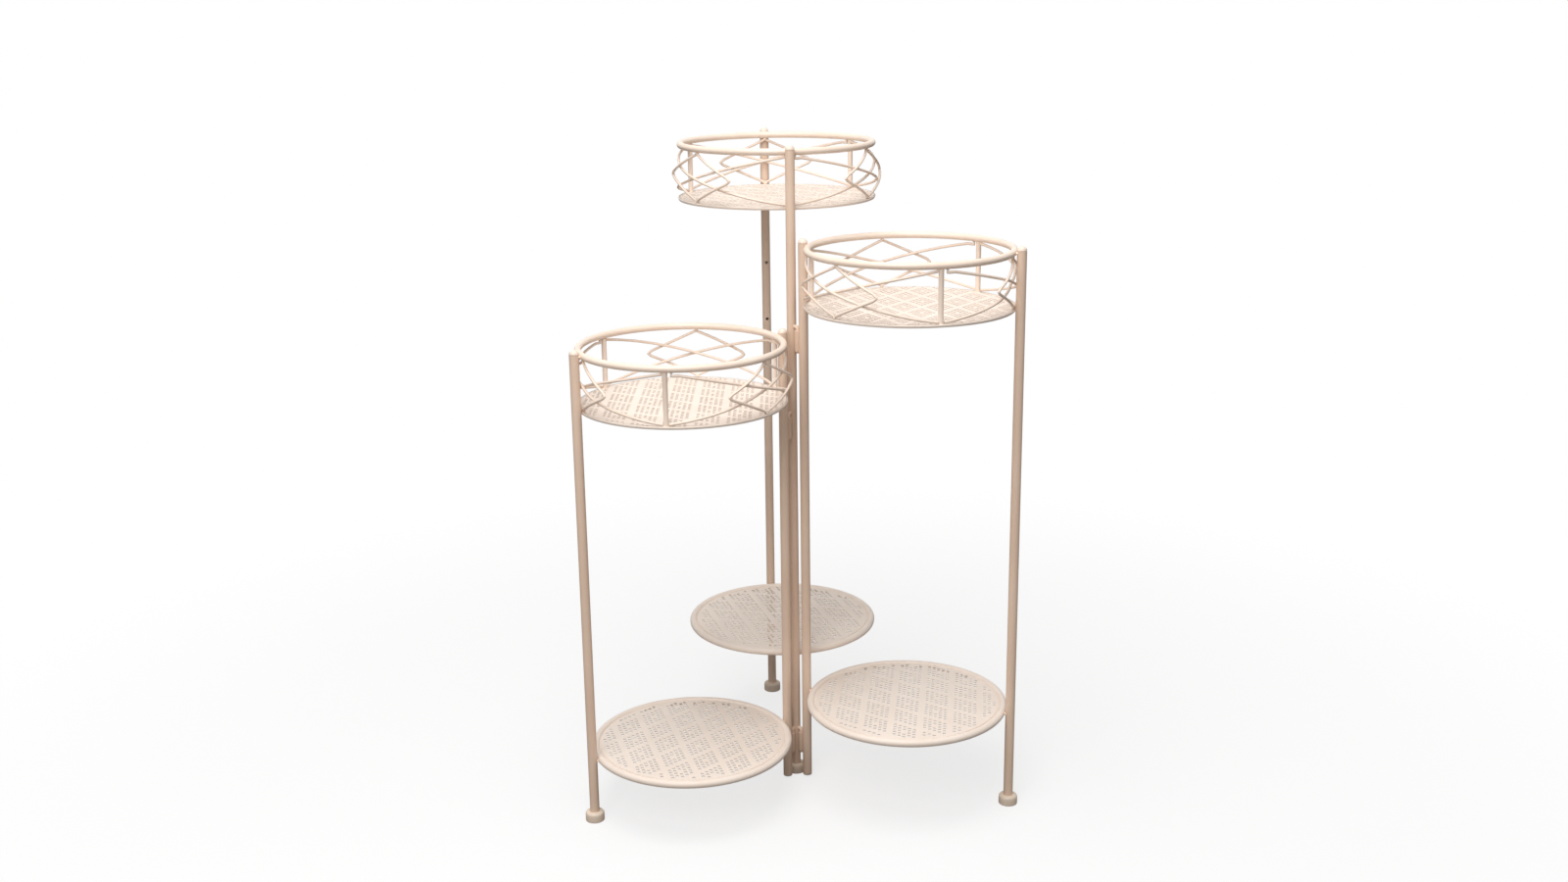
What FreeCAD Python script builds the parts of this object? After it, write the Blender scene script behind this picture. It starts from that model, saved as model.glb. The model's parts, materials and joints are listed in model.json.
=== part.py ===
import FreeCAD, Part
import math
import os

os.makedirs("parts", exist_ok=True)

V = FreeCAD.Vector

# All sizes are in millimetres and all turns in degrees.
# The origin is on the ground under the hinge post; up is +Z and the back post stands on +Y.

# The three frames
post_spacing = 250.0
post_width = 11.0
post_wall = 1.0
low_ring_height = 556.1
ring_step = 103.2
low_shelf_height = 75.3
shelf_step = 39.8
low_wing_bearing = -107.4
mid_wing_bearing = 115.0

# The baskets
ring_width = 8.0
bar_width = 5.8
wire_width = 3.2
basket_depth = 65.5
lattice_bulge = 3.5
panels = 3
wire_steps = 8
lift_span = 0.3125
post_pass_turn = 20.0
bar_gap = 0.7
wire_inset = 0.6
knob_gap = 7.0
knob_drop = 3.8
cross_turn = 19.5
corner_reach = 125.5
corner_trim = 3.0

# The floors and shelves
sheet = 1.2
floor_lip = 3.3
floor_overhang = 0.2
shelf_rim_width = 9.0
shelf_sink = 1.9
slot_length = 22.0
slot_width = 3.5
slot_pitch = 44.0
slot_rows = 3
round_sides = 28
knob_sides = 12

# The feet, caps and welds
foot_width = 22.0
foot_height = 12.0
foot_floor = 3.0
cap_height = 6.0
post_above_ring = 2.5
hole_width = 3.0
hole_heights = (523.5, 597.5)
plug_width = 7.6
plug_depth = 5.0
plug_flange = 1.5
wing_clearance = 2.5
weld_gap = 0.5
weld_width = 8.0
weld_height = 3.0
weld_curve = 3.0
seat = 0.2
weld_seat = 0.1

# The hinges
hinge_offset = 10.5
hinge_bearing = 145.0
pin_width = 5.0
pin_running_gap = 0.06
sleeve_width = 8.0
sleeve_length = 25.0
sleeve_end_gap = 1.0
pin_below_sleeve = 2.0
lower_sleeve_base = 31.0
upper_arm_below_floor = 30.0
inner_post_swing = 30.0

# Sizes that follow from the ones above
panel_span = 360.0 / panels
panel_turns = [panel_span * step for step in range(panels)]
bar_turns = [turn + panel_span / 2 for turn in panel_turns]
frame_middle = post_spacing / 2
edge_reach = frame_middle - post_width / 2 - weld_gap
ring_reach = edge_reach - ring_width / 2
rim_reach = edge_reach - shelf_rim_width / 2
floor_reach = edge_reach + floor_overhang
wire_foot_reach = floor_reach - wire_width / 2 - wire_inset
wire_fall = wire_width * 0.62
wire_top = -ring_width / 2 - seat - wire_fall
floor_top = -basket_depth + floor_lip
wire_bottom = floor_top + seat + wire_fall
wire_corner = wire_width / 2 / math.cos(math.pi / 6)
cross_lift = wire_corner + seat
beside_bar = math.degrees((bar_width / 2 + bar_gap) / ring_reach)
inner_post_offset = post_width / 2 + seat + sleeve_width / 2


def spot(reach, turn, height):
    """A point about the middle of a frame; turns start at the outer post and go anticlockwise."""
    angle = math.radians(turn)
    return V(-reach * math.sin(angle), frame_middle + reach * math.cos(angle), height)


def heading(bearing, reach):
    """A level step of this length; bearings start at +Y and go clockwise."""
    angle = math.radians(bearing)
    return V(reach * math.sin(angle), reach * math.cos(angle), 0)


def outline(centre, width, sides):
    """A level outline with equal sides, given its width across the flats."""
    half = math.pi / sides
    radius = width / 2 / math.cos(half)
    corners = []
    for step in range(sides):
        angle = (2 * step + 1) * half
        corners.append(centre + V(radius * math.cos(angle), radius * math.sin(angle), 0))
    return corners


def flat_face(corners):
    """A flat face with these corners."""
    return Part.Face(Part.makePolygon(corners + corners[:1]))


def flat_bar(centre, width, height, sides):
    """An upright bar with flat sides."""
    return flat_face(outline(centre, width, sides)).extrude(V(0, 0, height))


def skinned(sections):
    """A solid through outlines of equally many corners, with flat faces between them."""
    faces = [flat_face(sections[0]), flat_face(sections[-1])]
    for near, far in zip(sections, sections[1:]):
        for side in range(len(near)):
            after = (side + 1) % len(near)
            faces.append(flat_face([near[side], near[after], far[after], far[side]]))
    shell = Part.Shell(faces)
    shell.sewShape()
    return Part.Solid(shell)


def knob(centre, levels):
    """A small round solid through (width, height) levels, with flat sides."""
    return skinned([outline(centre + V(0, 0, height), width, knob_sides) for width, height in levels])


def disc(reach, base, height):
    """A flat-sided disc about the middle of a frame, with a side square to each post."""
    return flat_bar(V(0, frame_middle, base), 2 * reach, height, round_sides)


def tube_ring(reach, width, height):
    """A ring of eight-sided tube about the middle of a frame."""
    half = math.pi / round_sides
    radius = width / 2 / math.cos(math.pi / 8)
    sections = []
    for step in range(round_sides):
        turn = (2 * step + 1) * 180 / round_sides
        corners = []
        for corner in range(8):
            angle = (2 * corner + 1) * math.pi / 8
            out = (reach + radius * math.cos(angle)) / math.cos(half)
            corners.append(spot(out, turn, height + radius * math.sin(angle)))
        sections.append(Part.makePolygon(corners + corners[:1]))
    return Part.makeLoft(sections, True, True, True)


def bent_wire(points):
    """A six-sided wire with a mitred bend at each inner point."""
    ahead = [(there - here).normalize() for here, there in zip(points, points[1:])]
    outward = V(points[0].x, points[0].y - frame_middle, 0).normalize()
    sideways = ahead[0].cross(outward).normalize()
    outward = sideways.cross(ahead[0]).normalize()
    corners = []
    for step in range(6):
        angle = (2 * step + 1) * math.pi / 6
        corner = outward * (wire_corner * math.cos(angle)) + sideways * (wire_corner * math.sin(angle))
        corners.append(points[0] + corner)
    sections = [corners]
    for point, along, after in zip(points[1:], ahead, ahead[1:] + ahead[-1:]):
        mitre = along + after
        sections.append([corner + along * ((point - corner).dot(mitre) / along.dot(mitre))
                         for corner in sections[-1]])
    return skinned(sections)


def wire_reach(turn, fall, panel, lift):
    """How far out a lattice wire runs, from the ring (fall 0) to the floor (fall 1)."""
    reach = ring_reach + (wire_foot_reach - ring_reach) * fall + lattice_bulge * math.sin(math.pi * fall)
    if panel == 0:
        inside_post = frame_middle - post_width / 2 - 3 * seat - wire_corner - cross_lift
        reach = inside_post + (reach - inside_post) * min(1, abs(turn) / post_pass_turn)
    return reach + lift * cross_lift * max(0, 1 - abs(fall - 0.5) / lift_span)


def wire_height(fall):
    """The height of a lattice wire below its ring."""
    return wire_top + (wire_bottom - wire_top) * fall


def cross_path(panel, way):
    """The bends of one crossing wire: way 1 runs anticlockwise as it falls, way -1 clockwise."""
    first = panel_span / 2 - beside_bar
    if way > 0:
        first = panel_span / 2 - math.degrees(knob_gap / ring_reach)
    last = panel_span / 2 - beside_bar
    path = []
    for step in range(wire_steps + 1):
        fall = step / wire_steps
        turn = way * (-first + (first + last) * fall)
        path.append(spot(wire_reach(turn, fall, panel, way), panel + turn, wire_height(fall)))
    return path


def cross_wires():
    """Two wires that cross in every panel between two bars."""
    wires = []
    for panel in panel_turns:
        path = cross_path(panel, 1)
        path[0].z = wire_top - knob_drop + wire_fall
        knob = V(path[0].x, path[0].y, -ring_width / 2 - seat)
        wires.append(bent_wire([knob] + path))
        wires.append(bent_wire(cross_path(panel, -1)))
    return Part.makeCompound(wires)


def crossing(panel, way, low):
    """Where a side of a diamond (way 1 anticlockwise) crosses the outside of a wire, high or low."""
    fall = 0.5 - cross_turn / (panel_span - 2 * beside_bar)
    wire = -way
    if low:
        fall = 1 - fall
        wire = way
    step = math.floor(fall * wire_steps)
    share = fall * wire_steps - step
    path = cross_path(panel, wire)
    point = path[step] * (1 - share) + path[step + 1] * share
    reach = math.hypot(point.x, point.y - frame_middle) + 2 * wire_corner + 3 * seat
    return spot(reach, panel + way * cross_turn, wire_height(fall))


def diamond(panel):
    """One wire bent to a diamond and sprung over the outside of the crossing wires."""
    foot = spot(wire_foot_reach, panel, wire_bottom)
    joint = math.degrees(wire_width / 4 / ring_reach)
    corner_turn = cross_turn / (1 - 2 * cross_turn / (panel_span - 2 * beside_bar))
    sides = []
    for way in (1, -1):
        end = spot(ring_reach, panel + way * joint, wire_top)
        high = crossing(panel, way, False)
        low = crossing(panel, way, True)
        corner = spot(corner_reach, panel + way * corner_turn, wire_height(0.5))
        above = corner + (high - corner).normalize() * corner_trim
        below = corner + (low - corner).normalize() * corner_trim
        sides.append([end, high, above, below, low])
    return bent_wire(sides[0] + [foot] + sides[1][::-1])


def diamonds():
    """The three diamonds of a basket."""
    return Part.makeCompound([diamond(panel) for panel in panel_turns])


def bars():
    """The three upright bars of a basket."""
    top = -ring_width / 2 - seat
    base = floor_top + seat
    return Part.makeCompound([flat_bar(spot(ring_reach, turn, base), bar_width, top - base, 8)
                              for turn in bar_turns])


def slots(base):
    """Rows of slots to cut through a plate."""
    cuts = []
    start = V(-slot_width / 2, frame_middle - slot_length / 2, base - 1)
    for row in range(slot_rows):
        for column in range(slot_rows):
            across = (column - (slot_rows - 1) / 2) * slot_pitch
            along = (row - (slot_rows - 1) / 2) * slot_pitch
            cuts.append(Part.makeBox(slot_width, slot_length, sheet + 2, start + V(across, along, 0)))
    return Part.makeCompound(cuts)


def basket_floor():
    """A slotted plate with its edge turned down."""
    base = -basket_depth
    plate = disc(floor_reach, base, floor_lip)
    plate = plate.cut(disc(floor_reach - sheet, base, floor_lip - sheet))
    return plate.cut(slots(floor_top - sheet))


def shelf_tray():
    """A slotted plate set into a rim of tube."""
    top = shelf_rim_width / 2 - shelf_sink
    plate = disc(rim_reach, top - sheet, sheet)
    tray = tube_ring(rim_reach, shelf_rim_width, 0).fuse(plate).removeSplitter()
    return tray.cut(slots(top - sheet))


def edge_welds(height):
    """The welds that join a round edge to both posts of its frame."""
    welds = []
    for way in (1, -1):
        near = frame_middle + way * edge_reach
        post = frame_middle + way * frame_middle
        depth = post_width / 2 + weld_gap - weld_curve
        corner = V(-weld_width / 2, min(near, near + way * depth), height - weld_height / 2)
        block = Part.makeBox(weld_width, depth, weld_height, corner)
        round_post = Part.makeCylinder(post_width / 2 + weld_seat, weld_height + 2,
                                       V(0, post, height - weld_height / 2 - 1))
        welds.append(block.cut(round_post))
    return Part.makeCompound(welds)


def post(across, base, top):
    """A round tube."""
    centre = V(0, across, base)
    outside = Part.makeCylinder(post_width / 2, top - base, centre)
    return outside.cut(Part.makeCylinder(post_width / 2 - post_wall, top - base, centre))


def cap(across, base):
    """A domed cap with a plug that sits inside its post."""
    levels = [(post_width, seat), (post_width * 0.92, cap_height * 0.45),
              (post_width * 0.6, cap_height * 0.84), (post_width * 0.2, cap_height)]
    plug = flat_bar(V(0, across, base + seat - plug_depth), plug_width, plug_depth, 6)
    return knob(V(0, across, base), levels).fuse(plug)


def button_foot(across):
    """A round foot with a socket for its post."""
    levels = [(foot_width, 0), (foot_width, foot_height * 0.66),
              (foot_width * 0.88, foot_height * 0.9), (foot_width * 0.7, foot_height)]
    bore = post_width + 2 * weld_seat
    socket = flat_bar(V(0, across, foot_floor), bore, foot_height, knob_sides)
    return knob(V(0, across, 0), levels).cut(socket)


def end_plug():
    """The flat plug in the open foot of a wing's inner post."""
    flange = knob(V(0, 0, wing_clearance), [(post_width - 0.6, 0), (post_width, plug_flange)])
    plug = flat_bar(V(0, 0, wing_clearance + plug_flange), plug_width, plug_depth, 6)
    return flange.fuse(plug)


def hinge_axis(way):
    """Where a wing turns: way -1 is the low wing, way 1 the mid wing."""
    return heading(way * hinge_bearing, hinge_offset)


def arm_heights(ring_height):
    """The heights of the two pins' arms on one wing."""
    lower = lower_sleeve_base + sleeve_length + sleeve_end_gap + pin_width / 2
    return lower, ring_height - basket_depth - upper_arm_below_floor


def hinge_pins(way, ring_height):
    """Two pins that leave the hinge post level and turn down into the sleeves."""
    pins = []
    axis = hinge_axis(way)
    inside = heading(way * hinge_bearing, post_width / 2 - 2)
    along = V(axis).normalize()
    for height in arm_heights(ring_height):
        level = V(0, 0, height)
        drop = pin_width / 2 + sleeve_end_gap + sleeve_length + pin_below_sleeve
        path = Part.makePolygon([inside + level, axis + level, axis + level - V(0, 0, drop)])
        round_end = Part.Wire(Part.makeCircle(pin_width / 2, inside + level, along))
        pin = path.makePipeShell([round_end], True, False, 1)
        round_post = Part.makeCylinder(post_width / 2 + weld_seat, pin_width * 2, level - V(0, 0, pin_width))
        pins.append(pin.cut(round_post))
    return Part.makeCompound(pins)


def hinge_sleeves(way, ring_height):
    """Two short tubes that turn on the pins."""
    sleeves = []
    for height in arm_heights(ring_height):
        base = hinge_axis(way) + V(0, 0, height - pin_width / 2 - sleeve_end_gap - sleeve_length)
        outside = flat_bar(base, sleeve_width, sleeve_length, knob_sides)
        bore = Part.makeCylinder(pin_width / 2 + pin_running_gap, sleeve_length, base)
        sleeves.append(outside.cut(bore))
    return Part.makeCompound(sleeves)


def export(name, shape):
    """Write one piece of the stand."""
    shape.exportStep("parts/" + name + ".step")


def frame_pieces(ring_height, shelf_height):
    """The pieces that all three frames share, with the inner post on the origin."""
    up = V(0, 0, ring_height)
    welds = Part.makeCompound([edge_welds(ring_height), edge_welds(shelf_height)])
    top = ring_height + post_above_ring
    return {
        "basket_ring": tube_ring(ring_reach, ring_width, ring_height),
        "basket_floor": basket_floor().translate(up),
        "basket_bars": bars().translate(up),
        "basket_cross_wires": cross_wires().translate(up),
        "basket_diamonds": diamonds().translate(up),
        "shelf_tray": shelf_tray().translate(V(0, 0, shelf_height)),
        "edge_welds": welds,
        "caps": Part.makeCompound([cap(0, top), cap(post_spacing, top)]),
        "outer_post": post(post_spacing, foot_floor + seat, top),
    }


def centre_frame():
    """The fixed frame: the hinge post, the back post and the highest basket and shelf."""
    ring_height = low_ring_height + 2 * ring_step
    pieces = frame_pieces(ring_height, low_shelf_height + 2 * shelf_step)
    top = ring_height + post_above_ring
    for name, shape in pieces.items():
        if name == "outer_post":
            name = "back_post"
            for height in hole_heights:
                shape = shape.cut(Part.makeBox(hole_width, post_width / 2, hole_width,
                                               V(-hole_width / 2, post_spacing - post_width, height)))
        export("high_" + name, shape)
    export("hinge_post", post(0, foot_floor + seat, top))
    export("high_feet", Part.makeCompound([button_foot(0), button_foot(post_spacing)]))


def wing(name, way, bearing, ring_height, shelf_height):
    """A wing that turns about one of the two hinge axes."""
    inner_post = hinge_axis(way) + heading(bearing + way * inner_post_swing, inner_post_offset)
    pieces = frame_pieces(ring_height, shelf_height)
    top = ring_height + post_above_ring
    pieces["inner_post"] = post(0, wing_clearance + plug_flange + seat, top)
    pieces["feet"] = Part.makeCompound([end_plug(), button_foot(post_spacing)])
    for piece, shape in pieces.items():
        shape.rotate(V(0, 0, 0), V(0, 0, 1), -bearing)
        shape.translate(inner_post)
        export(name + "_" + piece, shape)
    export(name + "_hinge_sleeves", hinge_sleeves(way, ring_height))
    export(name + "_hinge_pins", hinge_pins(way, ring_height))


centre_frame()
wing("low_wing", -1, low_wing_bearing, low_ring_height, low_shelf_height)
wing("mid_wing", 1, mid_wing_bearing, low_ring_height + ring_step, low_shelf_height + shelf_step)
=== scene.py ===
import json
import math

import bpy
from mathutils import Matrix, Vector

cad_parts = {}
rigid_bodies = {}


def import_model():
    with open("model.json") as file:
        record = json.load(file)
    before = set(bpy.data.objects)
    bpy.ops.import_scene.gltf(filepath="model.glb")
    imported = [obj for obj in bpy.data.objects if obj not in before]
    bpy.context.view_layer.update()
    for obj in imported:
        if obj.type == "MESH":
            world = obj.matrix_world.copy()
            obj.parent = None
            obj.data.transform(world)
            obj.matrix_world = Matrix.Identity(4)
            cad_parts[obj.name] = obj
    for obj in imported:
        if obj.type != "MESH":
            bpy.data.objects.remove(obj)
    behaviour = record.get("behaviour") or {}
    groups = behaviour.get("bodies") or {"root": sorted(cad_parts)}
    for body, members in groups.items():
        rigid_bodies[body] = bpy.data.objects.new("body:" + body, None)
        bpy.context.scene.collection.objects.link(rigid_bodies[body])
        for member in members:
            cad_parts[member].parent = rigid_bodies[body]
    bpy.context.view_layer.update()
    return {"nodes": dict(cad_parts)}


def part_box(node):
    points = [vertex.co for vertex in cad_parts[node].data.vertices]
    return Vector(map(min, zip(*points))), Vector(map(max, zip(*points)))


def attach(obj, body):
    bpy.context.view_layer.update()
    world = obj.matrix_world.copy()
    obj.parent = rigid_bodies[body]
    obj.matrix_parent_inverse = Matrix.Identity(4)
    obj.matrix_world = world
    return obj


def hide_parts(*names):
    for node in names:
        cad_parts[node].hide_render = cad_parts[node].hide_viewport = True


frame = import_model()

MM = 0.001

# All sizes are in metres, and turns in degrees. A reach runs out from the middle of a basket or shelf.

# The posts of a frame, and the hinges of the wings
SPACING = 250 * MM
POST = 11 * MM
WALL = 1 * MM
HOLE_RADIUS = 1.9 * MM
HOLE_HEIGHTS = (525 * MM, 599 * MM)
PLUG_HEIGHT = 2.5 * MM
PIN = 5 * MM
PIN_BEND = 0.6 * MM
BEND_STEPS = 6
PIN_GAP = 1 * MM
PIN_TAIL = 2 * MM
SLEEVE_LENGTH = 25 * MM

# A basket's ring, bars and floor, and the middles of its panels
RING = 8 * MM
RING_REACH = 115 * MM
BAR = 5.8 * MM
BARS = (60, 180, 300)
PANELS = (0, 120, 240)
SHEET = 1.2 * MM
FLOOR_DROP = 65.5 * MM
FLOOR_REACH = 119.2 * MM
FLOOR_CLEAR_EDGE = 2.6 * MM
LIP = 3.3 * MM

# A basket's lattice. A fall is 0 at the ring and 1 at the floor.
WIRE = 3.2 * MM
WIRE_STEPS = 28
WIRE_TOP = -RING / 2 - 2.0 * MM
WIRE_BOTTOM = -FLOOR_DROP + LIP + 2.0 * MM
WIRE_FOOT_REACH = 117 * MM
BULGE = 3.5 * MM
LIFT = 1.65 * MM
LIFT_SPAN = 0.3125
POST_CLEARANCE = 4.2 * MM
POST_CLEARANCE_TURN = 20
BESIDE_BAR = 58.2
KNOB_TURN = 56.5
KNOB_DROP = 1.8 * MM
CROSSING_TURN = 18.6
CROSSING_FALL = 0.317
CROSSING_GAP = 0.1 * MM
CORNER_TURN = 29.3
CORNER_REACH = 125.5 * MM
DIAMOND_TOP_TURN = 0.4
BOW_STEPS = 8

# A shelf
RIM = 9 * MM
RIM_REACH = 114.5 * MM
SHELF_TOP = 2.6 * MM
SHELF_EDGE = RIM_REACH - 5.2 * MM
SHELF_CLEAR_EDGE = 4.6 * MM

# The punched pattern: slots in columns, in blocks, on a grid with some strips to each row
SLOT_WIDTH = 3.4 * MM
SLOT_LENGTH = 4.1 * MM
SLOT_MIDDLE = (0.3, 0.32)
COLUMN_PITCH = 5.7 * MM
ROW_PITCH = 6.4 * MM
COLUMNS = 42
ROWS = 38
BLOCK = 6
STRIPS = 4
SLOT_STRIPS = 3
CUTTER_DEPTH = 20 * MM

# How far each plate is turned before it is welded in
PLATE_TURNS = {
    "high_basket_floor": -60, "high_shelf_tray": -80,
    "low_wing_basket_floor": -25, "low_wing_shelf_tray": -9,
    "mid_wing_basket_floor": -18, "mid_wing_shelf_tray": 11,
}
# The plate whose pattern leans the other way in the photograph
TURNED_OVER = "low_wing_shelf_tray"

# Half sizes of the weld beads along X, Y and Z
DIAMOND_TOP_WELD = (2.0 * MM, 2.4 * MM, 1.3 * MM)
DIAMOND_FOOT_WELD = (1.9 * MM, 3.0 * MM, 1.2 * MM)
BAR_WELD = (1.9 * MM, 1.7 * MM, 1.2 * MM)
EDGE_WELD = (1.9 * MM, 4.0 * MM, 1.5 * MM)
UNEVEN = 1.08

# Edges that bend more than this, in degrees, are drawn sharp
RING_CREASE = 60
WIRE_CREASE = 50
BAR_CREASE = 40
CREASE = 35

# How finely round shapes are drawn
ROUND_STEPS = 24
FINE_STEPS = 144
MERGE_DISTANCE = MM / 50

# Finishes, lamps and air
ROUGHNESS_SPREAD = 0.12
BUMP_DISTANCE = 0.1 * MM
LAMP_COLOUR = (1, 0.99, 0.98)
AMBIENT = 0.37

# The camera stands where the photograph was taken from
EYE = Vector((-0.2433, -1.8691, 0.9418))
EYE_BEARING = 7.1
EYE_TILT = 15.31
EYE_ROLL = -0.71
LENS = 38.02
SENSOR = 36


# Small tools for modelling

def only(piece):
    """Select this piece and nothing else."""
    bpy.ops.object.select_all(action="DESELECT")
    piece.select_set(True)
    bpy.context.view_layer.objects.active = piece


def lone_vertex(name, place):
    """Start a piece from a plane drawn together to one vertex, and stay in edit mode."""
    bpy.ops.object.select_all(action="DESELECT")
    bpy.ops.mesh.primitive_plane_add(size=MM)
    piece = bpy.context.active_object
    piece.name = name
    bpy.ops.object.mode_set(mode="EDIT")
    bpy.ops.mesh.select_all(action="SELECT")
    bpy.ops.mesh.merge(type="CENTER")
    bpy.ops.transform.translate(value=place)
    return piece


def draw_line(points):
    """Extrude the selected vertex from point to point."""
    for here, there in zip(points, points[1:]):
        bpy.ops.mesh.extrude_region_move(TRANSFORM_OT_translate={"value": there - here})


def smooth(piece, degrees):
    """Shade a piece smooth, with its sharp edges kept."""
    only(piece)
    bpy.ops.object.shade_smooth_by_angle(angle=math.radians(degrees))


def lathe(name, profile, steps, closed=False):
    """Spin a profile of (radius, height) points about the upright axis."""
    points = [Vector((radius, 0, height)) for radius, height in profile]
    piece = lone_vertex(name, points[0])
    draw_line(points + points[:1] if closed else points)
    bpy.ops.mesh.select_all(action="SELECT")
    bpy.ops.mesh.spin(steps=steps, angle=math.tau, center=(0, 0, 0), axis=(0, 0, 1))
    bpy.ops.mesh.select_all(action="SELECT")
    bpy.ops.mesh.remove_doubles(threshold=MERGE_DISTANCE)
    bpy.ops.mesh.normals_make_consistent(inside=False)
    bpy.ops.object.mode_set(mode="OBJECT")
    return piece


def round_wire(name, path, width):
    """A round wire along a path of points."""
    piece = lone_vertex(name, path[0])
    draw_line(path)
    bpy.ops.object.mode_set(mode="OBJECT")
    only(piece)
    bpy.ops.object.convert(target="CURVE")
    piece = bpy.context.active_object
    piece.data.bevel_depth = width / 2
    piece.data.bevel_resolution = 3
    piece.data.use_fill_caps = True
    bpy.ops.object.convert(target="MESH")
    return bpy.context.active_object


def weld_bead(name, place, size):
    """A small uneven lump of weld metal under paint."""
    bpy.ops.object.select_all(action="DESELECT")
    bpy.ops.mesh.primitive_uv_sphere_add(segments=16, ring_count=10, radius=1)
    bead = bpy.context.active_object
    bead.name = name
    bpy.ops.object.mode_set(mode="EDIT")
    bpy.ops.transform.resize(value=size)
    bpy.ops.mesh.select_random(ratio=0.3, seed=5)
    bpy.ops.transform.resize(value=(UNEVEN, UNEVEN, UNEVEN), center_override=(0, 0, 0))
    bpy.ops.mesh.select_all(action="SELECT")
    bpy.ops.mesh.vertices_smooth(factor=0.5)
    bpy.ops.transform.translate(value=place)
    bpy.ops.object.mode_set(mode="OBJECT")
    return bead


def joined(name, pieces):
    """Join pieces into one."""
    bpy.ops.object.select_all(action="DESELECT")
    for piece in pieces:
        piece.select_set(True)
    bpy.context.view_layer.objects.active = pieces[0]
    bpy.ops.object.join()
    pieces[0].name = name
    return pieces[0]


def shifted(piece, step):
    """Move a piece's mesh, with its object left at the origin."""
    only(piece)
    piece.location = step
    bpy.ops.object.transform_apply(location=True, rotation=True, scale=True)
    return piece


def copied(piece, name):
    """A copy with its own mesh."""
    twin = piece.copy()
    twin.data = piece.data.copy()
    twin.name = name
    bpy.context.scene.collection.objects.link(twin)
    return twin


def mirrored(piece):
    """Swap a piece's left and right, with its normals still outward."""
    only(piece)
    bpy.ops.object.mode_set(mode="EDIT")
    bpy.ops.mesh.select_all(action="SELECT")
    bpy.ops.transform.mirror(constraint_axis=(True, False, False), center_override=(0, 0, 0))
    bpy.ops.mesh.normals_make_consistent(inside=False)
    bpy.ops.object.mode_set(mode="OBJECT")
    return piece


def around(turn, reach, height):
    """A point about the middle of a basket; turn 0 faces the outer post."""
    angle = math.radians(turn)
    return Vector((reach * math.cos(angle), reach * math.sin(angle), height))


def arc(centre, radius, start, end, steps):
    """Points of a round stretch of a profile."""
    points = []
    for step in range(steps + 1):
        angle = math.radians(start + (end - start) * step / steps)
        points.append((centre[0] + radius * math.cos(angle), centre[1] + radius * math.sin(angle)))
    return points


def circle(centre, radius):
    """Points of a whole round profile, each of them once."""
    return arc(centre, radius, 0, 360 * (ROUND_STEPS - 1) / ROUND_STEPS, ROUND_STEPS - 1)


# The pieces of one frame, drawn about the middle of its basket or shelf with the outer post on +X

def basket_ring():
    """The round top ring."""
    ring = lathe("ring", circle((RING_REACH, 0), RING / 2), steps=FINE_STEPS, closed=True)
    smooth(ring, RING_CREASE)
    return ring


def wire_height(fall):
    """The height of a lattice wire, from the ring (fall 0) to the floor (fall 1)."""
    return WIRE_TOP + (WIRE_BOTTOM - WIRE_TOP) * fall


def wire_reach(turn, fall, panel, way):
    """How far out a lattice wire runs; way 1 passes outside way -1 where they cross."""
    reach = RING_REACH + (WIRE_FOOT_REACH - RING_REACH) * fall + BULGE * math.sin(math.pi * fall)
    if panel == 0:
        inside_post = SPACING / 2 - POST / 2 - POST_CLEARANCE
        reach = inside_post + (reach - inside_post) * min(1, abs(turn) / POST_CLEARANCE_TURN)
    aside = min(1, abs(fall - 0.5) / LIFT_SPAN)
    return reach + way * LIFT * math.cos(aside * math.pi / 2)


def lattice_wire(panel, way):
    """A crossing wire; the one that runs anticlockwise starts in a small upturned end."""
    first = KNOB_TURN if way > 0 else BESIDE_BAR
    top_span = math.sin(math.radians(first))
    low_span = math.sin(math.radians(BESIDE_BAR))
    path = []
    for step in range(WIRE_STEPS + 1):
        turn = -first + (first + BESIDE_BAR) * step / WIRE_STEPS
        fall = (top_span + math.sin(math.radians(turn))) / (top_span + low_span)
        turn *= way
        path.append(around(panel + turn, wire_reach(turn, fall, panel, way), wire_height(fall)))
    if way > 0:
        low = path[0].copy()
        low.z -= KNOB_DROP
        path[0] = low + (path[1] - low) * 0.25
        path = [Vector((low.x, low.y, -RING / 2)), low] + path
    return round_wire("wire", path, WIRE)


def cross_wires():
    """Two wires across every panel."""
    wires = [lattice_wire(panel, way) for panel in PANELS for way in (1, -1)]
    lattice = joined("cross_wires", wires)
    smooth(lattice, WIRE_CREASE)
    return lattice


def bowed(start, through, end, share):
    """Points of a gently bowed side that passes through a place at this share of its way."""
    middle = (through - start * (1 - share) ** 2 - end * share ** 2) / (2 * share * (1 - share))
    points = []
    for step in range(BOW_STEPS + 1):
        along = step / BOW_STEPS
        points.append(start * (1 - along) ** 2 + middle * (2 * along * (1 - along))
                      + end * along ** 2)
    return points


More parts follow.
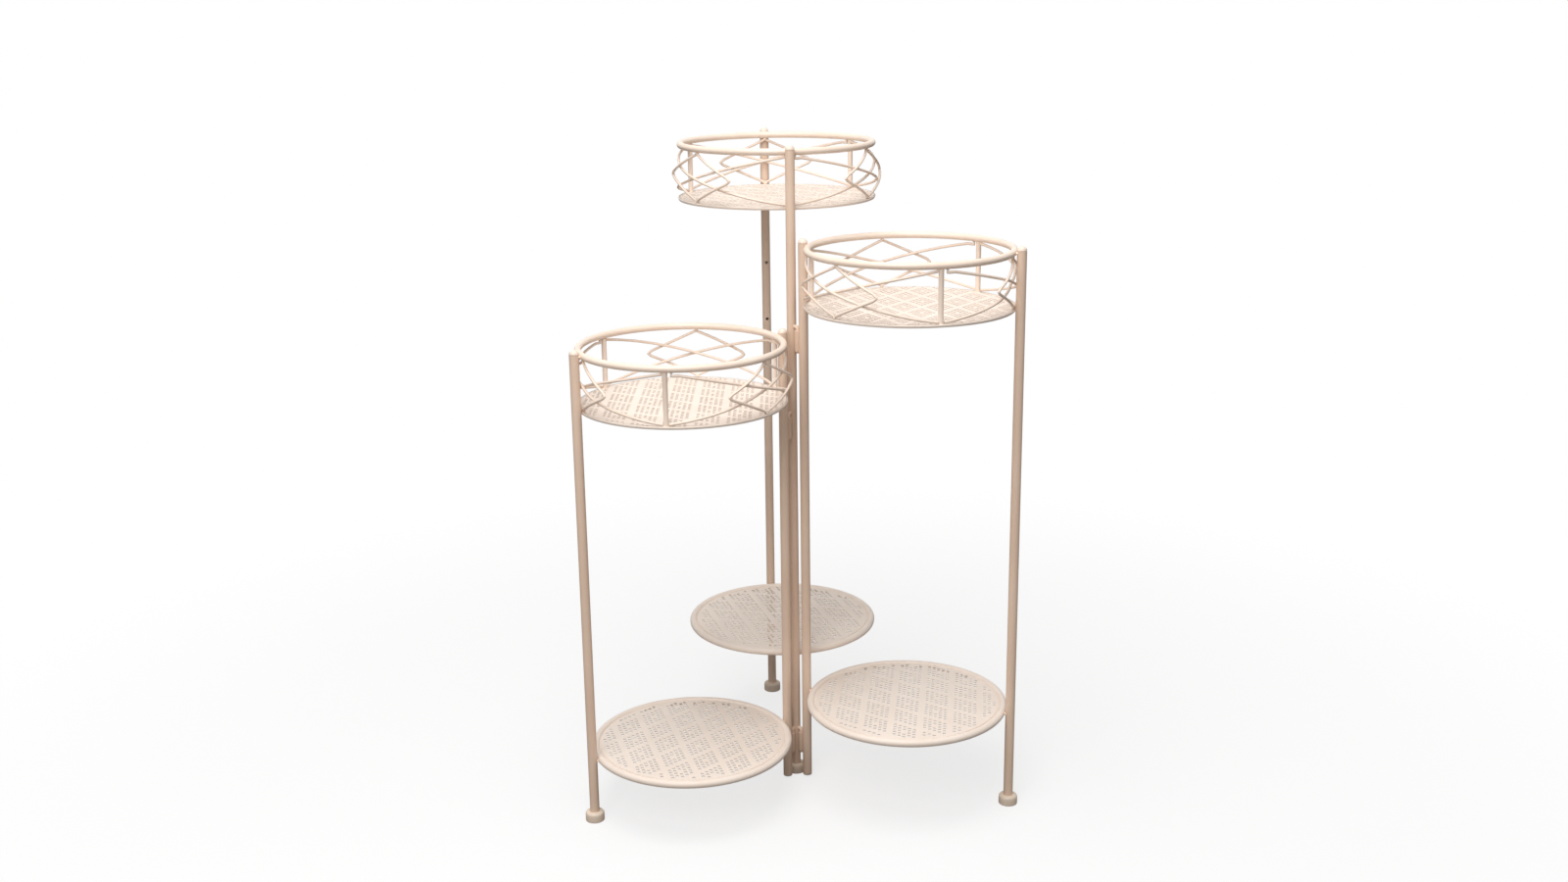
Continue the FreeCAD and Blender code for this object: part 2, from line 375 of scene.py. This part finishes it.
def diamond(panel):
    """One wire bent to a diamond and sprung over the outside of the crossing wires."""
    foot = around(panel, WIRE_FOOT_REACH, WIRE_BOTTOM)
    sides = []
    for way in (1, -1):
        turn = way * CROSSING_TURN
        top = around(panel + way * DIAMOND_TOP_TURN, RING_REACH, WIRE_TOP)
        upper_reach = wire_reach(turn, CROSSING_FALL, panel, -way) + WIRE + CROSSING_GAP
        lower_reach = wire_reach(turn, 1 - CROSSING_FALL, panel, way) + WIRE + CROSSING_GAP
        upper = around(panel + turn, upper_reach, wire_height(CROSSING_FALL))
        lower = around(panel + turn, lower_reach, wire_height(1 - CROSSING_FALL))
        corner = around(panel + way * CORNER_TURN, CORNER_REACH, wire_height(0.5))
        share = CROSSING_TURN / CORNER_TURN
        above = bowed(top, upper, corner, share)
        below = bowed(foot, lower, corner, share)
        nose = corner * 0.5 + (above[-2] + below[-2]) * 0.25
        near = (above[-2] * 0.3 + nose * 0.7, below[-2] * 0.3 + nose * 0.7)
        sides.append(above[:-1] + [near[0], nose, near[1]] + below[:-1][::-1])
    return round_wire("diamond", sides[0] + sides[1][::-1][1:], WIRE)


def diamonds():
    """The diamonds of a basket, with the welds at their top and bottom."""
    pieces = [diamond(panel) for panel in PANELS]
    for panel in PANELS:
        top = around(panel, RING_REACH, WIRE_TOP + 1.0 * MM)
        foot = around(panel, WIRE_FOOT_REACH - 0.3 * MM, WIRE_BOTTOM - 0.8 * MM)
        pieces.append(weld_bead("weld", top, DIAMOND_TOP_WELD))
        pieces.append(weld_bead("weld", foot, DIAMOND_FOOT_WELD))
    lattice = joined("diamonds", pieces)
    smooth(lattice, WIRE_CREASE)
    return lattice


def bars():
    """The three upright bars, each with a weld at its top and a small flare at both ends."""
    half = BAR / 2
    top = -RING / 2
    base = -FLOOR_DROP + LIP
    pieces = []
    for turn in BARS:
        profile = [(0, base), (half + 0.5 * MM, base), (half + 0.3 * MM, base + 0.8 * MM),
                   (half, base + 2 * MM), (half, top - 2 * MM), (half + 0.25 * MM, top - 1 * MM),
                   (half + 0.3 * MM, top + 0.2 * MM), (0, top + 0.6 * MM)]
        bar = lathe("bar", profile, steps=24)
        pieces.append(shifted(bar, around(turn, RING_REACH, 0)))
        pieces.append(weld_bead("weld", around(turn - 1.6, RING_REACH, top - 0.6 * MM), BAR_WELD))
    rods = joined("bars", pieces)
    smooth(rods, BAR_CREASE)
    return rods


def slotted(column, row):
    """Whether a plate has a slot here, in leaning blocks of five by five round a plain middle."""
    across = column % BLOCK
    along = (row + (column + 1) // 2) % BLOCK
    plain_middle = across == BLOCK // 2 and along == BLOCK // 2
    return across > 0 and along > 0 and not plain_middle


def move_lines(plate, axis, spacing, step):
    """Move every second line of a plate's grid sideways."""
    for vertex in plate.data.vertices:
        place = round((vertex.co[axis] - plate.data.vertices[0].co[axis]) / spacing)
        vertex.select = place % 2 == 1
    for edge in plate.data.edges:
        edge.select = all(plate.data.vertices[end].select for end in edge.vertices)
    bpy.ops.object.mode_set(mode="EDIT")
    move = [0, 0, 0]
    move[axis] = step
    bpy.ops.transform.translate(value=move)
    bpy.ops.object.mode_set(mode="OBJECT")


def punched_plate(name, reach, clear_edge):
    """A round plate with fine slots in staggered columns, its upper face at height 0."""
    width = COLUMNS * COLUMN_PITCH
    length = ROWS * ROW_PITCH
    strip = ROW_PITCH / STRIPS
    bpy.ops.object.select_all(action="DESELECT")
    bpy.ops.mesh.primitive_grid_add(x_subdivisions=2 * COLUMNS, y_subdivisions=STRIPS * ROWS, size=1)
    plate = bpy.context.active_object
    plate.name = name
    bpy.ops.object.mode_set(mode="EDIT")
    bpy.ops.transform.resize(value=(width, length, 1))
    bpy.ops.mesh.select_mode(type="FACE")
    bpy.ops.mesh.select_all(action="DESELECT")
    bpy.ops.object.mode_set(mode="OBJECT")
    for face in plate.data.polygons:
        half_column = int((face.center.x + width / 2) / (COLUMN_PITCH / 2))
        column = half_column // 2
        stagger = STRIPS // 2 * (column % 2)
        strips = int((face.center.y + length / 2) / strip) - stagger
        row = strips // STRIPS
        slot_x = (column + SLOT_MIDDLE[0]) * COLUMN_PITCH - width / 2
        slot_y = (row + SLOT_MIDDLE[1]) * ROW_PITCH + stagger * strip - length / 2
        inside = math.hypot(slot_x, slot_y) < reach - clear_edge
        in_slot = half_column % 2 == 0 and strips % STRIPS < SLOT_STRIPS
        face.select = in_slot and inside and slotted(column, row)
    bpy.ops.object.mode_set(mode="EDIT")
    bpy.ops.mesh.delete(type="FACE")
    bpy.ops.mesh.select_mode(type="VERT")
    bpy.ops.mesh.select_all(action="DESELECT")
    bpy.ops.object.mode_set(mode="OBJECT")
    move_lines(plate, 0, COLUMN_PITCH / 2, SLOT_WIDTH - COLUMN_PITCH / 2)
    move_lines(plate, 1, strip, SLOT_LENGTH - SLOT_STRIPS * strip)
    only(plate)
    solid = plate.modifiers.new("thickness", "SOLIDIFY")
    solid.thickness = SHEET
    solid.offset = -1
    bpy.ops.object.modifier_apply(modifier=solid.name)
    bpy.ops.object.select_all(action="DESELECT")
    bpy.ops.mesh.primitive_cylinder_add(vertices=FINE_STEPS, radius=reach, depth=CUTTER_DEPTH)
    cutter = bpy.context.active_object
    only(plate)
    trim = plate.modifiers.new("trim", "BOOLEAN")
    trim.operation = "INTERSECT"
    trim.object = cutter
    bpy.ops.object.modifier_apply(modifier=trim.name)
    bpy.data.objects.remove(cutter)
    return plate


def basket_floor():
    """A punched plate with its edge turned down."""
    plate = punched_plate("floor", FLOOR_REACH - SHEET, FLOOR_CLEAR_EDGE)
    bend = 0.8 * MM
    lean = 0.9 * MM
    tip = 0.3 * MM
    inner = FLOOR_REACH - 1.6 * MM
    lip = [(FLOOR_REACH - SHEET - lean, -LIP), (FLOOR_REACH - lean - tip, -LIP),
           (FLOOR_REACH - lean, -LIP + tip)]
    lip += arc((FLOOR_REACH - bend, -bend), bend, 0, 90, 5)
    lip += [(inner, 0), (inner, -SHEET), (FLOOR_REACH - SHEET, -SHEET)]
    floor = joined("floor", [plate, lathe("lip", lip, steps=FINE_STEPS, closed=True)])
    smooth(floor, CREASE)
    return shifted(floor, Vector((0, 0, -FLOOR_DROP + LIP)))


def shelf_tray():
    """A punched plate inside a rolled rim, with a fine groove between them."""
    plate = shifted(punched_plate("shelf", SHELF_EDGE, SHELF_CLEAR_EDGE), Vector((0, 0, SHELF_TOP)))
    rim = lathe("rim", circle((RIM_REACH, 0), RIM / 2), steps=FINE_STEPS, closed=True)
    inner = SHELF_EDGE - 0.6 * MM
    outer = SHELF_EDGE + 1.6 * MM
    top = SHELF_TOP - 1.0 * MM
    base = top - 1.0 * MM
    channel = [(inner, top), (outer, top), (outer, base), (inner, base)]
    tray = joined("shelf", [plate, rim, lathe("groove", channel, steps=FINE_STEPS, closed=True)])
    smooth(tray, CREASE)
    return tray


def cap():
    """A domed post cap that sits on its tube."""
    half = POST / 2
    skirt = 1.0 * MM
    dome = 5.0 * MM
    profile = [(0, 0.2 * MM), (half - 0.3 * MM, 0.2 * MM), (half, 0.5 * MM), (half, skirt)]
    for degrees in range(15, 91, 15):
        angle = math.radians(degrees)
        profile.append((half * math.cos(angle), skirt + dome * math.sin(angle)))
    piece = lathe("cap", profile, steps=32)
    smooth(piece, WIRE_CREASE)
    return piece


def button_foot():
    """A round foot with a rounded shoulder and a collar round its post."""
    half = 11 * MM
    edge = 0.8 * MM
    shoulder = 3.2 * MM
    socket = 5.6 * MM
    seat = 3 * MM
    profile = [(0, 0), (half - edge, 0)] + arc((half - edge, edge), edge, -60, 0, 3)
    profile += [(half, 7.6 * MM)] + arc((half - shoulder, 8.4 * MM), shoulder, 15, 75, 4)
    profile += [(half - 3.6 * MM, 11.8 * MM), (half - 4.2 * MM, 12 * MM), (socket, 11.6 * MM),
                (socket, seat), (0, seat)]
    piece = lathe("foot", profile, steps=48)
    smooth(piece, CREASE)
    return piece


def end_plug():
    """The flat plug in the foot of a wing's inner post."""
    half = POST / 2
    collar = 1.5 * MM
    stem = 3.8 * MM
    top = 6 * MM
    profile = [(0, 0), (half - 0.9 * MM, 0), (half - 0.3 * MM, 0.2 * MM), (half, 0.8 * MM),
               (half, collar), (stem, collar), (stem, top), (0, top)]
    piece = lathe("plug", profile, steps=32)
    smooth(piece, CREASE)
    return piece


def sleeve():
    """A short hinge tube."""
    outer = 4 * MM
    bore = 2.56 * MM
    top = SLEEVE_LENGTH
    edge = 0.4 * MM
    profile = [(bore, edge / 2), (bore + edge, 0), (outer - edge, 0), (outer, edge),
               (outer, top - edge), (outer - edge, top), (bore + edge, top), (bore, top - edge / 2)]
    piece = lathe("sleeve", profile, steps=32, closed=True)
    smooth(piece, CREASE)
    return piece


def post_tube(name, node):
    """A round tube where a CAD post stands, with its cut ends eased."""
    low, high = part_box(node)
    half = POST / 2
    bore = half - WALL
    ease = 0.3 * MM
    profile = [(bore, low.z), (half - ease, low.z), (half, low.z + ease), (half, high.z - ease),
               (half - ease, high.z), (bore, high.z)]
    tube = lathe(name, profile, steps=40, closed=True)
    smooth(tube, CREASE)
    return shifted(tube, Vector(((low.x + high.x) / 2, (low.y + high.y) / 2, 0)))


def drill(tube, height):
    """A small hole through the front wall of the back post."""
    low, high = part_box("high_back_post")
    bpy.ops.object.select_all(action="DESELECT")
    bpy.ops.mesh.primitive_cylinder_add(vertices=20, radius=HOLE_RADIUS, depth=POST,
                                        location=((low.x + high.x) / 2, low.y, height),
                                        rotation=(math.pi / 2, 0, 0))
    bit = bpy.context.active_object
    only(tube)
    hole = tube.modifiers.new("hole", "BOOLEAN")
    hole.operation = "DIFFERENCE"
    hole.object = bit
    bpy.ops.object.modifier_apply(modifier=hole.name)
    bpy.data.objects.remove(bit)


def hinge_pin(name, post, axis, height):
    """A round rod that leaves the hinge post level and turns down through its sleeve."""
    along = Vector((axis.x - post.x, axis.y - post.y, 0)).normalized()
    bend = PIN / 2 + PIN_BEND
    centre = Vector((axis.x, axis.y, height)) - along * bend - Vector((0, 0, bend))
    path = [Vector((post.x, post.y, height)) + along * (POST / 2 - WALL)]
    for step in range(BEND_STEPS + 1):
        angle = math.pi / 2 * (1 - step / BEND_STEPS)
        rise = Vector((0, 0, bend * math.sin(angle)))
        path.append(centre + along * (bend * math.cos(angle)) + rise)
    drop = PIN / 2 + PIN_GAP + SLEEVE_LENGTH + PIN_TAIL
    path.append(Vector((axis.x, axis.y, height - drop)))
    return round_wire(name, path, PIN)


def edge_weld():
    """The weld between a round edge and a post, drawn with the post on +X."""
    return weld_bead("weld", Vector((RING_REACH + RING / 2 + 1.2 * MM, 0, 0)), EDGE_WELD)


# Materials

def coat_group():
    """The surface of a coat: cloudy colour, uneven roughness and an orange-peel height."""
    group = bpy.data.node_groups.new("powder_coat_surface", "ShaderNodeTree")
    amounts = ("Cloud Size", "Cloud Amount", "Peel Size", "Base Roughness")
    for way, kind, names in (("INPUT", "NodeSocketColor", ("Coat", "Shade")),
                             ("INPUT", "NodeSocketFloat", amounts),
                             ("OUTPUT", "NodeSocketColor", ("Color",)),
                             ("OUTPUT", "NodeSocketFloat", ("Roughness", "Height"))):
        for name in names:
            group.interface.new_socket(name=name, in_out=way, socket_type=kind)
    nodes = group.nodes
    links = group.links
    given = nodes.new("NodeGroupInput")
    result = nodes.new("NodeGroupOutput")
    place = nodes.new("ShaderNodeTexCoord")
    cloud = nodes.new("ShaderNodeTexNoise")
    cloud.inputs["Detail"].default_value = 4
    links.new(place.outputs["Object"], cloud.inputs["Vector"])
    links.new(given.outputs["Cloud Size"], cloud.inputs["Scale"])
    spread = nodes.new("ShaderNodeMapRange")
    spread.inputs["From Min"].default_value = 0.35
    spread.inputs["From Max"].default_value = 0.7
    links.new(cloud.outputs["Fac"], spread.inputs["Value"])
    amount = nodes.new("ShaderNodeMath")
    amount.operation = "MULTIPLY"
    links.new(spread.outputs["Result"], amount.inputs[0])
    links.new(given.outputs["Cloud Amount"], amount.inputs[1])
    mix = nodes.new("ShaderNodeMix")
    mix.data_type = "RGBA"
    links.new(amount.outputs[0], mix.inputs["Factor"])
    links.new(given.outputs["Coat"], mix.inputs["A"])
    links.new(given.outputs["Shade"], mix.inputs["B"])
    links.new(mix.outputs["Result"], result.inputs["Color"])
    peel = nodes.new("ShaderNodeTexNoise")
    peel.inputs["Detail"].default_value = 3
    links.new(place.outputs["Object"], peel.inputs["Vector"])
    links.new(given.outputs["Peel Size"], peel.inputs["Scale"])
    links.new(peel.outputs["Fac"], result.inputs["Height"])
    rough = nodes.new("ShaderNodeMath")
    rough.operation = "MULTIPLY_ADD"
    rough.inputs[1].default_value = ROUGHNESS_SPREAD
    links.new(peel.outputs["Fac"], rough.inputs[0])
    links.new(given.outputs["Base Roughness"], rough.inputs[2])
    links.new(rough.outputs[0], result.inputs["Roughness"])
    return group


def coat(name, group, colour, shade, cloud_size, cloud_amount, peel_size,
         roughness, gloss, bump):
    """A painted or plastic finish with its own values for the shared surface."""
    material = bpy.data.materials.new(name)
    material.use_nodes = True
    nodes = material.node_tree.nodes
    links = material.node_tree.links
    shader = nodes["Principled BSDF"]
    shader.inputs["Specular IOR Level"].default_value = gloss
    surface = nodes.new("ShaderNodeGroup")
    surface.node_tree = group
    for socket, value in (("Coat", (*colour, 1)), ("Shade", (*shade, 1)),
                          ("Cloud Size", cloud_size), ("Cloud Amount", cloud_amount),
                          ("Peel Size", peel_size), ("Base Roughness", roughness)):
        surface.inputs[socket].default_value = value
    height = nodes.new("ShaderNodeBump")
    height.inputs["Strength"].default_value = bump
    height.inputs["Distance"].default_value = BUMP_DISTANCE
    links.new(surface.outputs["Color"], shader.inputs["Base Color"])
    links.new(surface.outputs["Roughness"], shader.inputs["Roughness"])
    links.new(surface.outputs["Height"], height.inputs["Height"])
    links.new(height.outputs["Normal"], shader.inputs["Normal"])
    return material


surface = coat_group()
# The post coat is the same paint as the wire and plate coats, made darker and more saturated: painted
# shade on the upright posts. The hinge sleeves, hinge pins and the CAD's own nodes take it too.
painted_shade_post_coat = coat("post_powder_coat_painted_shade", surface, (0.80, 0.615, 0.485), (0.69, 0.505, 0.38),
                 cloud_size=9, cloud_amount=0.6, peel_size=1100,
                 roughness=0.34, gloss=0.5, bump=0.25)
wire_coat = coat("wire_powder_coat", surface, (0.88, 0.74, 0.63), (0.80, 0.63, 0.51),
                 cloud_size=25, cloud_amount=0.6, peel_size=1300,
                 roughness=0.34, gloss=0.5, bump=0.2)
plate_coat = coat("plate_powder_coat", surface, (0.91, 0.80, 0.71), (0.86, 0.735, 0.64),
                  cloud_size=18, cloud_amount=0.6, peel_size=1000,
                  roughness=0.42, gloss=0.4, bump=0.25)
foot_plastic = coat("foot_plastic", surface, (0.80, 0.67, 0.55), (0.72, 0.58, 0.47),
                    cloud_size=40, cloud_amount=0.5, peel_size=700,
                    roughness=0.42, gloss=0.45, bump=0.15)


# Every frame gets its own copy of the drawn pieces

def middle_of(node):
    """The middle of a CAD node."""
    low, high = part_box(node)
    return (low + high) / 2


def dress(piece, body, material, slot, *nodes):
    """Give a drawn piece its finish and its body, and hide the CAD nodes that it stands for."""
    piece.data.materials.clear()
    piece.data.materials.append(material)
    for face in piece.data.polygons:
        face.material_index = 0
    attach(piece, body)
    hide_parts(*nodes)


def set_in_place(piece, middle, outward):
    """Turn a piece to face along its frame, move it there and apply both."""
    only(piece)
    piece.matrix_world = Matrix.Translation(middle) @ Matrix.Rotation(outward, 4, "Z")
    bpy.ops.object.transform_apply(location=True, rotation=True, scale=True)
    return piece


def stood(master, name, places):
    """Copies of a small piece, one at each of these places, joined."""
    return joined(name, [shifted(copied(master, name), place) for place in places])


# The large pieces of a frame with their finishes, and the small ones
MASTERS = {
    "basket_ring": (basket_ring(), wire_coat),
    "basket_cross_wires": (cross_wires(), wire_coat),
    "basket_diamonds": (diamonds(), wire_coat),
    "basket_bars": (bars(), wire_coat),
    "basket_floor": (basket_floor(), plate_coat),
    "shelf_tray": (shelf_tray(), plate_coat),
}
SMALL = {
    "cap": cap(),
    "foot": button_foot(),
    "plug": end_plug(),
    "sleeve": sleeve(),
    "weld": edge_weld(),
}

# Each frame's body, inner post and outer post
FRAMES = {
    "high": ("centre_frame", "hinge_post", "high_back_post"),
    "low_wing": ("low_wing", "low_wing_inner_post", "low_wing_outer_post"),
    "mid_wing": ("mid_wing", "mid_wing_inner_post", "mid_wing_outer_post"),
}

hinge_low, hinge_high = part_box("hinge_post")
hinge_middle = (hinge_low + hinge_high) / 2

for prefix, (body, inner_post, outer_post) in FRAMES.items():
    ring = middle_of(prefix + "_basket_ring")
    shelf = middle_of(prefix + "_shelf_tray")
    inner = middle_of(inner_post)
    outer = middle_of(outer_post)
    outward = math.atan2(outer.y - inner.y, outer.x - inner.x)
    middle = Vector(((inner.x + outer.x) / 2, (inner.y + outer.y) / 2, ring.z))
    for name, (master, material) in MASTERS.items():
        place = middle.copy()
        if name == "shelf_tray":
            place.z = shelf.z
        node = prefix + "_" + name
        turn = outward + math.radians(PLATE_TURNS.get(node, 0))
        piece = copied(master, node + "_drawn")
        if node == TURNED_OVER:
            piece = mirrored(piece)
        piece = set_in_place(piece, place, turn)
        dress(piece, body, material, "powder_coat", node)

    for node in (inner_post, outer_post):
        tube = post_tube(node + "_drawn", node)
        if node == "high_back_post":
            for height in HOLE_HEIGHTS:
                drill(tube, height)
            smooth(tube, CREASE)
        dress(tube, body, painted_shade_post_coat, "powder_coat", node)

    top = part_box(outer_post)[1].z
    caps = stood(SMALL["cap"], prefix + "_caps_drawn",
                 [Vector((inner.x, inner.y, top)), Vector((outer.x, outer.y, top))])
    dress(caps, body, wire_coat, "powder_coat", prefix + "_caps")

    welds = []
    for height in (ring.z, shelf.z):
        for turn in (0, math.pi):
            place = Vector((middle.x, middle.y, height))
            welds.append(set_in_place(copied(SMALL["weld"], "weld"), place, outward + turn))
    welds = joined(prefix + "_welds_drawn", welds)
    dress(welds, body, wire_coat, "powder_coat", prefix + "_edge_welds")

    foot_places = [Vector((outer.x, outer.y, 0))]
    if prefix == "high":
        foot_places.append(Vector((inner.x, inner.y, 0)))
    feet = stood(SMALL["foot"], prefix + "_feet_drawn", foot_places)
    if prefix != "high":
        plug = shifted(copied(SMALL["plug"], "plug"), Vector((inner.x, inner.y, PLUG_HEIGHT)))
        feet = joined(prefix + "_feet_drawn", [feet, plug])
        low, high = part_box(prefix + "_hinge_sleeves")
        axis = (low + high) / 2
        bases = [low.z, high.z - SLEEVE_LENGTH]
        sleeves = stood(SMALL["sleeve"], prefix + "_sleeves_drawn",
                        [Vector((axis.x, axis.y, base)) for base in bases])
        dress(sleeves, body, painted_shade_post_coat, "powder_coat", prefix + "_hinge_sleeves")
        arms = [base + SLEEVE_LENGTH + PIN_GAP + PIN / 2 for base in bases]
        pins = joined(prefix + "_pins_drawn",
                      [hinge_pin("pin", hinge_middle, axis, arm) for arm in arms])
        smooth(pins, WIRE_CREASE)
        dress(pins, "centre_frame", painted_shade_post_coat, "powder_coat", prefix + "_hinge_pins")
    dress(feet, body, foot_plastic, "foot_plastic", prefix + "_feet")

for master in [piece for piece, _ in MASTERS.values()] + list(SMALL.values()):
    bpy.data.objects.remove(master)

# The CAD's own nodes take the same finishes
for name, node in frame["nodes"].items():
    node.data.materials.clear()
    node.data.materials.append(foot_plastic if name.endswith("_feet") else painted_shade_post_coat)


# Floor, light and camera

def studio_paper(name):
    """Pale paper: nearly white to the camera, darker where it throws light back, white far off."""
    material = bpy.data.materials.new(name)
    material.use_nodes = True
    nodes = material.node_tree.nodes
    links = material.node_tree.links
    matt = nodes["Principled BSDF"]
    matt.inputs["Roughness"].default_value = 0.9
    matt.inputs["Specular IOR Level"].default_value = 0.1
    rays = nodes.new("ShaderNodeLightPath")
    tone = nodes.new("ShaderNodeMix")
    tone.data_type = "RGBA"
    tone.inputs["A"].default_value = (0.28, 0.26, 0.24, 1)
    tone.inputs["B"].default_value = (0.90, 0.90, 0.90, 1)
    bright = nodes.new("ShaderNodeEmission")
    bright.inputs["Color"].default_value = (1, 1, 1, 1)
    place = nodes.new("ShaderNodeTexCoord")
    distance = nodes.new("ShaderNodeVectorMath")
    distance.operation = "LENGTH"
    fade = nodes.new("ShaderNodeMapRange")
    fade.interpolation_type = "SMOOTHSTEP"
    fade.inputs["From Min"].default_value = 0.35
    fade.inputs["From Max"].default_value = 1.3
    fade.inputs["To Min"].default_value = 0.72
    fade.inputs["To Max"].default_value = 1.0
    share = nodes.new("ShaderNodeMath")
    share.operation = "MULTIPLY"
    mix = nodes.new("ShaderNodeMixShader")
    links.new(rays.outputs["Is Camera Ray"], tone.inputs["Factor"])
    links.new(tone.outputs["Result"], matt.inputs["Base Color"])
    links.new(place.outputs["Object"], distance.inputs[0])
    links.new(distance.outputs["Value"], fade.inputs["Value"])
    links.new(rays.outputs["Is Camera Ray"], share.inputs[0])
    links.new(fade.outputs["Result"], share.inputs[1])
    links.new(share.outputs[0], mix.inputs["Fac"])
    links.new(matt.outputs["BSDF"], mix.inputs[1])
    links.new(bright.outputs["Emission"], mix.inputs[2])
    links.new(mix.outputs["Shader"], nodes["Material Output"].inputs["Surface"])
    return material


bpy.ops.object.select_all(action="DESELECT")
bpy.ops.mesh.primitive_plane_add(size=30, location=(0, 0, 0))
floor = bpy.context.active_object
floor.name = "studio_floor"
floor.data.materials.append(studio_paper("studio_paper"))

# The world lights the stand softly, and is white where the camera or a gloss sees it
world = bpy.data.worlds.new("studio")
world.use_nodes = True
bpy.context.scene.world = world
world_nodes = world.node_tree.nodes
world_links = world.node_tree.links
ambient = world_nodes["Background"]
ambient.inputs["Color"].default_value = (1, 1, 1, 1)
ambient.inputs["Strength"].default_value = AMBIENT
seen = world_nodes.new("ShaderNodeBackground")
seen.inputs["Color"].default_value = (1, 1, 1, 1)
seen.inputs["Strength"].default_value = 1.0
rays = world_nodes.new("ShaderNodeLightPath")
choose = world_nodes.new("ShaderNodeMixShader")
lit = world_nodes.new("ShaderNodeMath")
lit.operation = "ADD"
lit.use_clamp = True
world_links.new(rays.outputs["Is Camera Ray"], lit.inputs[0])
world_links.new(rays.outputs["Is Glossy Ray"], lit.inputs[1])
world_links.new(lit.outputs[0], choose.inputs["Fac"])
world_links.new(ambient.outputs["Background"], choose.inputs[1])
world_links.new(seen.outputs["Background"], choose.inputs[2])
world_links.new(choose.outputs["Shader"], world_nodes["World Output"].inputs["Surface"])


def softbox(name, place, aim, size, power):
    """A square studio lamp that points at a place."""
    lamp = bpy.data.lights.new(name, "AREA")
    lamp.shape = "SQUARE"
    lamp.size = size
    lamp.energy = power
    lamp.color = LAMP_COLOUR
    holder = bpy.data.objects.new(name, lamp)
    bpy.context.scene.collection.objects.link(holder)
    holder.location = place
    holder.rotation_euler = (Vector(aim) - Vector(place)).to_track_quat("-Z", "Y").to_euler()


softbox("top_light", (-0.3, -0.6, 2.6), (0, 0, 0.4), size=1.5, power=39)
softbox("front_light", (-0.7, -1.6, 1.6), (0, 0, 0.6), size=0.9, power=15)

scene = bpy.context.scene
scene.view_settings.view_transform = "Standard"
camera_data = bpy.data.cameras.new("camera")
camera_data.lens = LENS
camera_data.sensor_width = SENSOR
camera = bpy.data.objects.new("camera", camera_data)
scene.collection.objects.link(camera)
camera.matrix_world = (Matrix.Translation(EYE)
                       @ Matrix.Rotation(math.radians(-EYE_BEARING), 4, "Z")
                       @ Matrix.Rotation(math.radians(90 - EYE_TILT), 4, "X")
                       @ Matrix.Rotation(math.radians(EYE_ROLL), 4, "Z"))
scene.camera = camera
